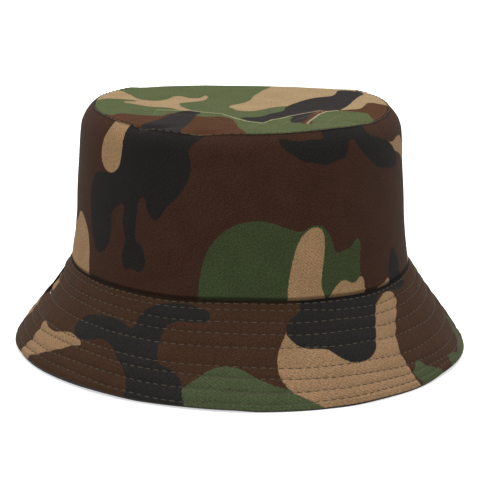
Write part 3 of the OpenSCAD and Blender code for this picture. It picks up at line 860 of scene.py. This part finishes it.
def spun_thread(name, colour):
    """Spun polyester sewing thread: matt, twisted, each turn catching a little light."""
    material, tree = new_material(name)
    # The twist is about 0.5 mm a turn; it is drawn at 0.9 mm.
    twist = object_noise(tree, 1100.0, 1.0)
    return plain_dyed(material, tree, colour, twist, 0.8, 1.2, Roughness=0.8, IOR=1.57, Specular_IOR_Level=0.15)


def pressed_felt(name, colour):
    """Pressed synthetic felt that stiffens the brim: matt and fibrous."""
    material, tree = new_material(name)
    # Tufts of fibres about 1.4 mm across
    fibres = object_noise(tree, 700.0, 4.0)
    return plain_dyed(material, tree, colour, fibres, 0.85, 1.1, Roughness=0.95, IOR=1.5, Specular_IOR_Level=0.2)


# ---------------------------------------------------------------- stitches
# A stitch's share of its pitch, and the stations along it: where, how thick, and how high over the cloth
STITCH_SHARE = 0.76
STATIONS = np.array([-0.5, -0.36, 0.0, 0.36, 0.5])
THICKNESSES = np.array([0.35, 0.85, 1.0, 0.85, 0.35])
HEIGHTS = np.array([-0.8, -0.15, 0.1, -0.15, -0.8])


def stitch_line(path, place, depth, out_way, pitch, gauge, seed):
    """Separate stitches along one row: place gives mm along the path at mm round the head seam, and
    depth is where the thread lies. Gives points and faces."""
    u = np.linspace(0, ROUND, 2401)
    line = surface_line(path, u, place, depth)
    walked = np.concatenate([[0], np.cumsum(np.linalg.norm(np.diff(line, axis=0), axis=1))])
    count, stations, sides = int(round(walked[-1] / pitch)), len(STATIONS), 6
    dice = np.random.default_rng(seed)
    middles = (np.arange(count) + 0.5) * walked[-1] / count
    length = pitch * STITCH_SHARE * dice.uniform(0.92, 1.05, count)
    at = np.interp((middles[:, None] + length[:, None] * STATIONS).ravel(), walked, u)
    centre = surface_line(path, at, place, depth).reshape(count, stations, 3)
    raised = surface_line(path, at, place, depth - out_way * 1.0).reshape(count, stations, 3)
    normal = raised - centre
    normal /= np.linalg.norm(normal, axis=2, keepdims=True)
    ahead = centre[:, -1:] - centre[:, :1]
    ahead = ahead / np.linalg.norm(ahead, axis=2, keepdims=True)
    across = np.cross(normal, ahead + 0 * normal)
    shift = dice.uniform(-0.07, 0.07, (count, 1))
    centre = centre + normal * (HEIGHTS * gauge)[None, :, None] + across * shift[:, :, None]
    angle = np.arange(sides) * 2 * math.pi / sides
    ring = (across[:, :, None, :] * np.cos(angle)[None, None, :, None]
            + normal[:, :, None, :] * np.sin(angle)[None, None, :, None] * 0.8)
    points = centre[:, :, None, :] + ring * (gauge / 2 * THICKNESSES)[None, :, None, None]
    body = [[r * sides + k, r * sides + (k + 1) % sides, (r + 1) * sides + (k + 1) % sides, (r + 1) * sides + k]
            for r in range(stations - 1) for k in range(sides)]
    body += [list(range(sides))[::-1], list(range(sides * (stations - 1), sides * stations))]
    faces = [[i + sides * stations * n for i in f] for n in range(count) for f in body]
    return points.reshape(-1, 3), faces


def surface_line(path, u, place, depth):
    return layer_points(path, u, place(u), depth + 0 * u, 0 * u)


# ---------------------------------------------------------------- camera and image points
VIEW_SIZE = 480
CAMERA = {"elevation": 13.18, "distance": 1400.0, "aim_x": -1.27, "aim_z": 56.06, "lens": 195.05, "roll": 0.92,
          "sensor_width": 36.0, "shift_x": 0.0, "shift_y": 0.0}

# Image points of the photograph, in pixels
IMAGE_POINTS = {
    "left_edge": (15.5, None),
    "right_edge": (463.5, None),
    "top_edge": (None, 85.0),
    "bottom_edge": (None, 412.0),
    "tip_seam_left": (96.4, 100.0),
    "tip_seam_front": (241.8, 133.4),
    "tip_seam_right": (390.8, 106.0),
    "head_seam_left": (73.8, 256.8),
    "head_seam_front": (244.0, 300.2),
    "head_seam_right": (408.0, 261.4),
    "row_1": (240, 303.7),
    "row_2": (240, 310.0),
    "row_3": (240, 322.0),
    "row_4": (240, 334.0),
    "row_5": (240, 347.5),
    "row_6": (240, 367.0),
    "row_7": (240, 378.0),
    "row_8": (240, 392.0),
    "row_9": (240, 404.0),
}


def camera_matrix():
    tilt = math.radians(CAMERA["elevation"])
    distance = CAMERA["distance"] / 1000
    place = Vector((CAMERA["aim_x"] / 1000, -distance * math.cos(tilt),
                    CAMERA["aim_z"] / 1000 + distance * math.sin(tilt)))
    return (Matrix.Translation(place) @ Matrix.Rotation(math.radians(90) - tilt, 4, "X")
            @ Matrix.Rotation(math.radians(CAMERA["roll"]), 4, "Z"))


def shown_at(point):
    """Where a place in metres shows in the photograph's frame."""
    local = camera_matrix().inverted() @ Vector(point)
    scale = VIEW_SIZE * CAMERA["lens"] / CAMERA["sensor_width"] / -local.z
    return (VIEW_SIZE / 2 + local.x * scale - CAMERA["shift_x"] * VIEW_SIZE,
            VIEW_SIZE / 2 - local.y * scale + CAMERA["shift_y"] * VIEW_SIZE)


def placed(point, tree):
    """The place on a surface that shows at an image point: where its ray meets the surface, or the place
    nearest to the ray where it misses."""
    matrix = camera_matrix()
    across = point[0] - VIEW_SIZE / 2 + CAMERA["shift_x"] * VIEW_SIZE
    upward = VIEW_SIZE / 2 - point[1] + CAMERA["shift_y"] * VIEW_SIZE
    ray = Vector((across, upward, -VIEW_SIZE * CAMERA["lens"] / CAMERA["sensor_width"])).normalized()
    start, way = matrix.translation, (matrix.to_3x3() @ ray).normalized()
    hit = tree.ray_cast(start, way)[0]
    if hit is None:
        steps = [tree.find_nearest(start + way * (CAMERA["distance"] / 1000 + d / 100)) for d in range(-15, 16)]
        hit = min((s for s in steps if s[0] is not None), key=lambda s: s[3])[0]
    return hit


def smooth_brim_tree():
    """The brim's front as it lies before quilting, for placing its rows."""
    across, down = 61, 57
    u, s = np.meshgrid(np.linspace(-60, 60, across), np.linspace(0, BRIM_WIDTH, down), indexing="ij")
    points = layer_points(brim_path, u, s, 0 * s, 0 * s).reshape(-1, 3) / 1000
    i, j = np.meshgrid(np.arange(across - 1), np.arange(down - 1), indexing="ij")
    n = i * down + j
    quads = np.stack([n, n + down, n + down + 1, n + 1], -1).reshape(-1, 4)
    return BVHTree.FromPolygons(points.tolist(), quads.tolist())


def settle_rows():
    """Puts the quilting rows where they show in front."""
    tree = smooth_brim_tree()
    s = np.linspace(0, BRIM_WIDTH, 1121)
    for i in range(len(ROW_FRONT)):
        hit = np.array(placed(IMAGE_POINTS[f"row_{i + 1}"], tree)) * 1000
        u = float(turn_at(np.array(hit[0]), np.array(hit[1]))) * END_ARC
        line = layer_points(brim_path, u + 0 * s, s, 0 * s, 0 * s)
        ROW_FRONT[i] = float(s[np.argmin(np.linalg.norm(line - hit, axis=1))])


# ---------------------------------------------------------------- settings
def colour_property(name, description, shade):
    return FloatVectorProperty(name=name, description=description, subtype="COLOR", size=3, min=0, max=1,
                               default=linear(shade))


def size_property(name, description, default, low, high):
    return FloatProperty(name=name, description=description, default=default, min=low, max=high,
                         unit="LENGTH", subtype="DISTANCE", precision=5)


class TipColours(bpy.types.PropertyGroup):
    brown: colour_property("Brown", "Brown ground of the tip's print", "#422714")
    green: colour_property("Green", "Green patches of the tip", "#464e30")
    tan: colour_property("Tan", "Tan patches of the tip", "#8c7657")
    black: colour_property("Black", "Black patches of the tip", "#1e1b1b")


class SideColours(bpy.types.PropertyGroup):
    brown: colour_property("Brown", "Brown ground of the crown's side", "#36231a")
    green: colour_property("Green", "Green patches of the crown's side", "#353e27")
    tan: colour_property("Tan", "Tan patches of the crown's side", "#8c7051")
    black: colour_property("Black", "Black patches of the crown's side", "#1e1c1b")


class BrimColours(bpy.types.PropertyGroup):
    brown: colour_property("Brown", "Brown ground of the brim", "#3c291d")
    green: colour_property("Green", "Green patches of the brim", "#434c33")
    tan: colour_property("Tan", "Tan patches of the brim", "#8d7053")
    black: colour_property("Black", "Black patches of the brim", "#232221")


class OtherColours(bpy.types.PropertyGroup):
    lining: colour_property("Lining", "Plain lining and under side of the brim", "#232327")
    topstitch: colour_property("Topstitching", "Thread that shows", "#4c463a")
    seam_thread: colour_property("Seam thread", "Thread inside the seams of the shell", "#5f5541")
    lining_thread: colour_property("Lining thread", "Thread inside the seams of the lining", "#17171a")
    felt: colour_property("Interlining", "Felt that stiffens the brim", "#d9d9d6")
    floor: colour_property("Floor", "Studio floor", "#e6e6e6")


class HatSizes(bpy.types.PropertyGroup):
    puff: size_property("Quilting", "How far the brim swells between its rows", 0.0009, 0, 0.0015)
    stitch: size_property("Stitch", "Length of one stitch and its gap", 0.0046, 0.002, 0.006)
    thread: size_property("Topstitching thread", "Thickness of the thread that shows", 0.0005, 0.0003, 0.001)
    cell: size_property("Mesh step", "Distance between points on the printed faces", 0.0011, 0.0008, 0.004)


GROUPS = {"hat_tip": TipColours, "hat_side": SideColours, "hat_brim": BrimColours, "hat_other": OtherColours,
          "hat_sizes": HatSizes}


def ink(context, group):
    colours = getattr(context.scene, group)
    return [tuple(getattr(colours, key)) for key in ("brown", "green", "tan", "black")]


# ---------------------------------------------------------------- operators
class HAT_OT_crown_tip(bpy.types.Operator):
    """Makes the printed tip of the crown"""
    bl_idname = "hat.crown_tip"
    bl_label = "Crown tip"

    def execute(self, context):
        # The tip carries a painted highlight, with ink rubbed off, along the tops of its creases.
        cloth = washed_twill("washed_twill_tip", *ink(context, "hat_tip"), crease_wear_and_highlight=True)
        tip = tip_disc("tip_cloth", cloth, SHELL_CLOTH, shell_setback(TIP_BEND), False,
                       columns=420, rings=68, prints=print_on(TIP_TAN, TIP_GREEN, TIP_BLACK, 0))
        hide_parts("crown_tip")
        return {"FINISHED"}


class HAT_OT_crown_sides(bpy.types.Operator):
    """Makes the printed front and back of the crown's side"""
    bl_idname = "hat.crown_sides"
    bl_label = "Crown sides"

    def execute(self, context):
        # The side's colour is darkened within about 2 mm of its tip and head seams, as painted shade.
        cloth = washed_twill("washed_twill_side", *ink(context, "hat_side"), painted_seam_shade=(
            (CROWN_SIDE - 0.9, CROWN_SIDE - 2.0, 0.35), (1.0, 2.2, 0.4)))
        step = context.scene.hat_sizes.cell * 1000
        for side in ("front", "back"):
            panel = cloth_panel(f"side_cloth_{side}", side, crown_path, "crown", cloth,
                                SHELL_CLOTH, shell_setback(TIP_BEND), CROWN_SIDE - shell_setback(HEAD_BEND),
                                face_step=step, u_step=step,
                                prints=print_on(CROWN_TAN, CROWN_GREEN, CROWN_BLACK, CROWN_SIDE))
            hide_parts(f"crown_side_{side}")
        return {"FINISHED"}


class HAT_OT_brim_top(bpy.types.Operator):
    """Makes the printed, quilted upper side of the brim"""
    bl_idname = "hat.brim_top"
    bl_label = "Brim top"

    def execute(self, context):
        # The brim's colour is darkened within about 2.6 mm of its head seam, as painted shade.
        cloth = washed_twill("washed_twill_brim", *ink(context, "hat_brim"), diagonal=50,
                             painted_seam_shade=((1.0, 2.6, 0.35),))
        sizes = context.scene.hat_sizes
        for side in ("front", "back"):
            panel = cloth_panel(f"brim_cloth_{side}", side, brim_path, "brim", cloth,
                                SHELL_CLOTH, shell_setback(HEAD_BEND), BRIM_WIDTH - SHELL_FOLD,
                                face_step=1, u_step=sizes.cell * 1000, puff=sizes.puff * 1000,
                                prints=print_on(BRIM_TAN, BRIM_GREEN, BRIM_BLACK, BRIM_WIDTH))
            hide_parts(f"brim_top_{side}")
        return {"FINISHED"}


class HAT_OT_lining(bpy.types.Operator):
    """Makes the plain lining of the crown and of the brim"""
    bl_idname = "hat.lining"
    bl_label = "Lining"

    def execute(self, context):
        cloth = plain_poplin("plain_poplin_lining", tuple(context.scene.hat_other.lining))
        tip = tip_disc("lining_tip_cloth", cloth, LINING_CLOTH, lining_setback(TIP_BEND), True,
                       columns=240, rings=24)
        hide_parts("lining_tip")
        for side in ("front", "back"):
            panel = cloth_panel(f"lining_side_cloth_{side}", side, crown_path, "crown", cloth,
                                LINING_CLOTH, lining_setback(TIP_BEND), CROWN_SIDE - lining_setback(HEAD_BEND),
                                face_step=3, u_step=2.5, lining=True)
            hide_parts(f"lining_side_{side}")
            under = cloth_panel(f"brim_under_cloth_{side}", side, brim_path, "brim", cloth,
                                LINING_CLOTH, lining_setback(HEAD_BEND), BRIM_WIDTH - SHELL_FOLD,
                                face_step=0.9, u_step=2.0, puff=0.5, lining=True)
            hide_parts(f"brim_under_{side}")
        return {"FINISHED"}


def worn_copy(node, name, material):
    """A copy of a hidden CAD node, lying as the worn cloths round it do."""
    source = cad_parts[node].data
    points = np.empty(len(source.vertices) * 3)
    source.vertices.foreach_get("co", points)
    points = points.reshape(-1, 3) * 1000
    mesh = source.copy()
    moved = worn(turn_at(points[:, 0], points[:, 1]), points[:, 0], points[:, 1], points[:, 2])
    mesh.vertices.foreach_set("co", (moved / 1000).ravel())
    mesh.materials.clear()
    mesh.materials.append(material)
    mesh.update()
    piece = bpy.data.objects.new(name, mesh)
    bpy.context.scene.collection.objects.link(piece)
    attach(piece, "root")
    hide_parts(node)


class HAT_OT_interlining(bpy.types.Operator):
    """Lays the felt that stiffens the brim between its cloths"""
    bl_idname = "hat.interlining"
    bl_label = "Interlining"

    def execute(self, context):
        felt = pressed_felt("pressed_felt_interlining", tuple(context.scene.hat_other.felt))
        for side in ("front", "back"):
            worn_copy(f"brim_interlining_{side}", f"felt_{side}", felt)
        return {"FINISHED"}


class HAT_OT_seam_threads(bpy.types.Operator):
    """Lays the threads that close the seams, out of sight between the cloths"""
    bl_idname = "hat.seam_threads"
    bl_label = "Seam threads"

    def execute(self, context):
        other = context.scene.hat_other
        shell = spun_thread("spun_thread_seams", tuple(other.seam_thread))
        lining = spun_thread("spun_thread_lining", tuple(other.lining_thread))
        for seam in ("tip", "head", "side", "brim_edge"):
            worn_copy(f"{seam}_seam_thread", f"{seam}_seam_sewing", shell)
        for seam in ("lining_tip", "lining_head", "lining_side"):
            worn_copy(f"{seam}_seam_thread", f"{seam}_seam_sewing", lining)
        return {"FINISHED"}


class HAT_OT_topstitching(bpy.types.Operator):
    """Sews the nine rows round the brim and the row round the tip, stitch by stitch"""
    bl_idname = "hat.topstitching"
    bl_label = "Topstitching"

    def execute(self, context):
        sizes = context.scene.hat_sizes
        pitch, gauge = sizes.stitch * 1000, sizes.thread * 1000
        thread = spun_thread("spun_thread_topstitch", tuple(context.scene.hat_other.topstitch))
        for i in range(len(ROW_FRONT)):
            place = lambda u: row_places(u)[i]
            top, faces = stitch_line(brim_path, place, -0.12, 1, pitch, gauge, 40 + i)
            under, more = stitch_line(brim_path, place, STACK + 0.1, -1, pitch, gauge * 0.9, 60 + i)
            faces = faces + [[n + len(top) for n in f] for f in more]
            row = mesh_piece(f"row_{i + 1}_stitches", np.concatenate([top, under]), faces, thread)
            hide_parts(f"brim_stitch_row_{i + 1}")
        points, faces = stitch_line(crown_path, lambda u: TIP_ROW + 0 * u, 0.0, 1, pitch, gauge, 80)
        row = mesh_piece("tip_row_stitches", points, faces, thread)
        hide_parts("tip_topstitch")
        return {"FINISHED"}


def seen_directly(tree):
    """1 for what is seen, straight or in gloss or glass, and 0 for the light that is given to the hat."""
    path = add_node(tree, "ShaderNodeLightPath")
    total = path.outputs["Is Camera Ray"]
    for name in ("Is Glossy Ray", "Is Transmission Ray"):
        total = add_node(tree, "ShaderNodeMath", {"operation": "MAXIMUM"}, {0: total, 1: path.outputs[name]}).outputs[0]
    return total


def soft_light(name, size, energy, place, aim):
    light = bpy.data.lights.new(name, "AREA")
    light.shape, light.size, light.energy = "DISK", size, energy
    lamp = bpy.data.objects.new(name, light)
    lamp.location = place
    lamp.rotation_euler = (Vector(aim) - Vector(place)).to_track_quat("-Z", "Y").to_euler()
    bpy.context.scene.collection.objects.link(lamp)


class HAT_OT_stage(bpy.types.Operator):
    """Sets the floor, the light round the hat and the camera"""
    bl_idname = "hat.stage"
    bl_label = "Stage"

    def execute(self, context):
        scene = context.scene
        scene.view_settings.view_transform = "Standard"
        material, tree = new_material("matt_paper_floor")
        # Matt white paper; the camera also sees it glow a little, so that it is white up to the hat's shadow.
        paper = add_node(tree, "ShaderNodeBsdfDiffuse", inputs={"Color": opaque(tuple(scene.hat_other.floor))})
        seen = add_node(tree, "ShaderNodeMath", {"operation": "MULTIPLY"}, {0: seen_directly(tree), 1: 0.55})
        glow = add_node(tree, "ShaderNodeEmission", inputs={"Color": (1, 1, 1, 1), "Strength": seen.outputs[0]})
        both = add_node(tree, "ShaderNodeAddShader", inputs={0: paper.outputs[0], 1: glow.outputs[0]})
        finish_material(tree, both)
        size = 4.0
        mesh = bpy.data.meshes.new("studio_floor")
        mesh.from_pydata([(-size, -size, 0), (size, -size, 0), (size, size, 0), (-size, size, 0)], [], [(0, 1, 2, 3)])
        mesh.materials.append(material)
        floor = bpy.data.objects.new("studio_floor", mesh)
        scene.collection.objects.link(floor)
        floor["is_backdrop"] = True

        world = bpy.data.worlds.new("pale_room")
        scene.world = world
        world.use_nodes = True
        tree = world.node_tree
        tree.nodes.clear()
        room = add_node(tree, "ShaderNodeBackground", inputs={"Color": (1, 1, 1, 1), "Strength": 0.54})
        backdrop = add_node(tree, "ShaderNodeBackground", inputs={"Color": (1, 1, 1, 1), "Strength": 1.0})
        mixed = add_node(tree, "ShaderNodeMixShader", inputs={
            0: seen_directly(tree), 1: room.outputs[0], 2: backdrop.outputs[0]})
        add_node(tree, "ShaderNodeOutputWorld", inputs={"Surface": mixed.outputs[0]})
        soft_light("overhead_light", 1.6, 32, (0, 0.3, 1.7), (0, 0, 0.08))
        soft_light("front_light", 1.2, 9, (-0.3, -1.9, 0.9), (0, 0, 0.08))

        data = bpy.data.cameras.new("photo_camera")
        data.lens, data.sensor_width, data.sensor_fit = CAMERA["lens"], CAMERA["sensor_width"], "AUTO"
        data.shift_x, data.shift_y = CAMERA["shift_x"], CAMERA["shift_y"]
        data.clip_start, data.clip_end = 0.05, 30
        camera = bpy.data.objects.new("photo_camera", data)
        camera.matrix_world = camera_matrix()
        scene.collection.objects.link(camera)
        scene.camera = camera
        return {"FINISHED"}


class HAT_OT_image_points(bpy.types.Operator):
    """Finds where each named thing shows in the photograph's frame"""
    bl_idname = "hat.image_points"
    bl_label = "Image points"

    def execute(self, context):
        found, shown = {}, []
        inverse = np.array(camera_matrix().inverted())
        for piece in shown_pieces():
            if piece.type != "MESH":
                continue
            co = np.empty(len(piece.data.vertices) * 3)
            piece.data.vertices.foreach_get("co", co)
            local = co.reshape(-1, 3) @ inverse[:3, :3].T + inverse[:3, 3]
            scale = VIEW_SIZE * CAMERA["lens"] / CAMERA["sensor_width"] / -local[:, 2]
            shown.append(np.stack([VIEW_SIZE / 2 + local[:, 0] * scale, VIEW_SIZE / 2 - local[:, 1] * scale], -1))
        shown = np.concatenate(shown)
        found["left_edge"], found["right_edge"] = (shown[:, 0].min(), None), (shown[:, 0].max(), None)
        found["top_edge"], found["bottom_edge"] = (None, shown[:, 1].min()), (None, shown[:, 1].max())
        turns = np.linspace(-ROUND / 2, ROUND / 2, 1200)
        for seam, path in (("tip_seam", crown_path), ("head_seam", brim_path)):
            line = layer_points(path, turns, 0 * turns, 0 * turns, 0 * turns) / 1000
            seen = np.array([shown_at(p) for p in line])
            found[seam + "_left"], found[seam + "_right"] = seen[seen[:, 0].argmin()], seen[seen[:, 0].argmax()]
            found[seam + "_front"] = seen[np.argmin(np.abs(seen[:, 0] - IMAGE_POINTS[seam + "_front"][0])
                                                    + 1000 * (np.abs(turns) > QUARTER))]
        for i in range(len(ROW_FRONT)):
            u = np.linspace(-20, 20, 401)
            line = layer_points(brim_path, u, row_places(u)[i], -0.1 + 0 * u, 0 * u) / 1000
            seen = np.array([shown_at(p) for p in line])
            found[f"row_{i + 1}"] = seen[np.argmin(np.abs(seen[:, 0] - IMAGE_POINTS[f"row_{i + 1}"][0]))]
        return {"FINISHED"}


OPERATORS = [HAT_OT_crown_tip, HAT_OT_crown_sides, HAT_OT_brim_top, HAT_OT_lining, HAT_OT_interlining,
             HAT_OT_seam_threads, HAT_OT_topstitching, HAT_OT_stage, HAT_OT_image_points]


class HAT_PT_panel(bpy.types.Panel):
    """Lists the hat's steps in the sidebar"""
    bl_idname = "HAT_PT_panel"
    bl_label = "Bucket hat"
    bl_space_type = "VIEW_3D"
    bl_region_type = "UI"
    bl_category = "Hat"

    def draw(self, context):
        for group, kind in GROUPS.items():
            box = self.layout.box()
            for key in kind.__annotations__:
                box.prop(getattr(context.scene, group), key)
        for operator in OPERATORS:
            self.layout.operator(operator.bl_idname)


def register():
    for kind in [*GROUPS.values(), *OPERATORS, HAT_PT_panel]:
        bpy.utils.register_class(kind)
    for name, kind in GROUPS.items():
        setattr(bpy.types.Scene, name, PointerProperty(type=kind))


def unregister():
    for name in GROUPS:
        delattr(bpy.types.Scene, name)
    for kind in reversed([*GROUPS.values(), *OPERATORS, HAT_PT_panel]):
        bpy.utils.unregister_class(kind)


def main():
    register()
    settle_rows()
    for operator in OPERATORS:
        group, name = operator.bl_idname.split(".")
        getattr(getattr(bpy.ops, group), name)()


if __name__ == "__main__":
    main()
